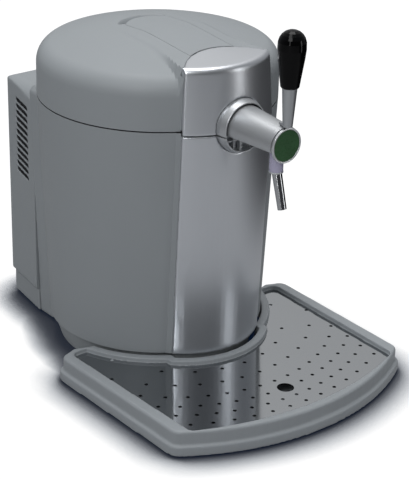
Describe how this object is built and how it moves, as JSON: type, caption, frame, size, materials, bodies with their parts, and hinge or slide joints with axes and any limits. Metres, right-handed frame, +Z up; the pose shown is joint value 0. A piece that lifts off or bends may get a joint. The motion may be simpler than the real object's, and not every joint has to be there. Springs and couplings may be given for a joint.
{
  "type": "mini keg beer dispenser",
  "caption": "Counter-top cooler and tap for a small keg: round body with hinged domed lid, silver front panel, tap with lever, rear cooling box and a drip tray.",
  "frame": {"origin": "centre of the outline in plan, on the plane the feet stand on", "axes": "+Z up; -Y towards the tap and the drip tray, +Y towards the rear box; X across, mirror symmetric outside"},
  "size_m": [0.339, 0.487, 0.429],
  "materials": {
    "shell_plastic": "fine-grained matte",
    "silver_panel": "satin metallic silver",
    "foot_rubber": "matte",
    "base_steel": "plain",
    "foam": "rigid closed-cell foam",
    "chamber_metal": "satin",
    "black_plastic": "matte",
    "pin_steel": "ground",
    "hose": "clear tube",
    "disc_green": "gloss, plain",
    "ring_metal": "polished",
    "barrel_metal": "satin silver",
    "connector_plastic": "translucent lilac",
    "spout_chrome": "polished",
    "knob_black": "high gloss",
    "lever_metal": "satin chrome",
    "heat_sink_metal": "extruded",
    "ceramic_white": "plain",
    "board_green": "circuit board",
    "fan_black": "matte",
    "filter_dark": "fine mesh",
    "tray_plastic": "fine-grained matte",
    "grid_steel": "polished stainless, mirror-like",
    "seal_rubber": "matte"
  },
  "bodies": {
    "cabinet": {"body_shell": "shell_plastic", "front_panel": "silver_panel", "base_foot": "shell_plastic", "rubber_feet": "foot_rubber", "base_plate": "base_steel", "insulation": "foam", "keg_liner": "chamber_metal", "keg_rest": "black_plastic", "top_trim": "shell_plastic", "lid_seal": "seal_rubber", "collar_lower": "barrel_metal", "collar_ribs": "barrel_metal", "rear_frame": "shell_plastic", "rear_cover": "shell_plastic", "side_filters": "filter_dark", "cold_block": "chamber_metal", "cooling_module": "ceramic_white", "heat_sink": "heat_sink_metal", "fan_frame": "fan_black", "power_supply": "base_steel", "control_board": "board_green", "mains_inlet": "black_plastic", "inlet_pins": "pin_steel", "switch_housing": "black_plastic", "hinge_lugs": "shell_plastic", "hinge_pin": "pin_steel"},
    "lid": {"lid_shell": "shell_plastic", "flap_well": "black_plastic", "lid_front_cap": "silver_panel", "lid_liner": "chamber_metal", "lid_insulation": "foam", "keg_coupler": "black_plastic", "beer_line": "hose", "collar_upper": "barrel_metal", "tap_barrel": "barrel_metal", "barrel_floor": "barrel_metal", "cap_ring": "ring_metal", "cap_disc": "disc_green", "lever_bracket": "black_plastic", "spout_connector": "connector_plastic", "spout_ring": "ring_metal", "spout_tube": "spout_chrome", "lid_knuckles": "shell_plastic"},
    "flap": {"access_flap": "shell_plastic", "flap_pin": "pin_steel"},
    "lever": {"lever_stem": "lever_metal", "lever_pin": "pin_steel", "lever_knob": "knob_black"},
    "valve": {"valve_stem": "pin_steel"},
    "fan": {"fan_rotor": "fan_black"},
    "rocker": {"switch_rocker": "knob_black"},
    "tray": {"drip_tray": "tray_plastic", "tray_tongues": "tray_plastic", "tray_pads": "foot_rubber"},
    "grid": {"drip_grid": "grid_steel"}
  },
  "joints": [
    {"name": "lid_hinge", "type": "hinge", "parent": "cabinet", "child": "lid", "pos_m": [0, 0.2045, 0.307], "axis": [-1, 0, 0], "range_deg": [0, 85]},
    {"name": "flap_hinge", "type": "hinge", "parent": "lid", "child": "flap", "pos_m": [0, -0.0265, 0.37298], "axis": [1, 0, 0], "range_deg": [0, 70]},
    {"name": "lever_hinge", "type": "hinge", "parent": "lid", "child": "lever", "pos_m": [0, -0.1575, 0.315], "axis": [1, 0, 0], "range_deg": [0, 15]},
    {"name": "valve_lift", "type": "slide", "parent": "lid", "child": "valve", "axis": [0, 0, 1], "range_m": [0, 0.0019]},
    {"name": "fan_spin", "type": "hinge", "parent": "cabinet", "child": "fan", "pos_m": [0, 0.2155, 0.15], "axis": [0, 1, 0], "continuous": true},
    {"name": "switch_rock", "type": "hinge", "parent": "cabinet", "child": "rocker", "pos_m": [0, 0.2365, 0.056], "axis": [0, 0, 1], "range_deg": [-10, 10]},
    {"name": "tray_slide", "type": "slide", "parent": "cabinet", "child": "tray", "axis": [0, -1, 0], "range_m": [0, 0.15]},
    {"name": "grid_lift", "type": "slide", "parent": "tray", "child": "grid", "axis": [0, 0, 1], "range_m": [0, 0.05]}
  ],
  "couplings": [
    {"joint": "valve_lift", "follows": "lever_hinge", "m_per_rad": 0.0072575}
  ]
}
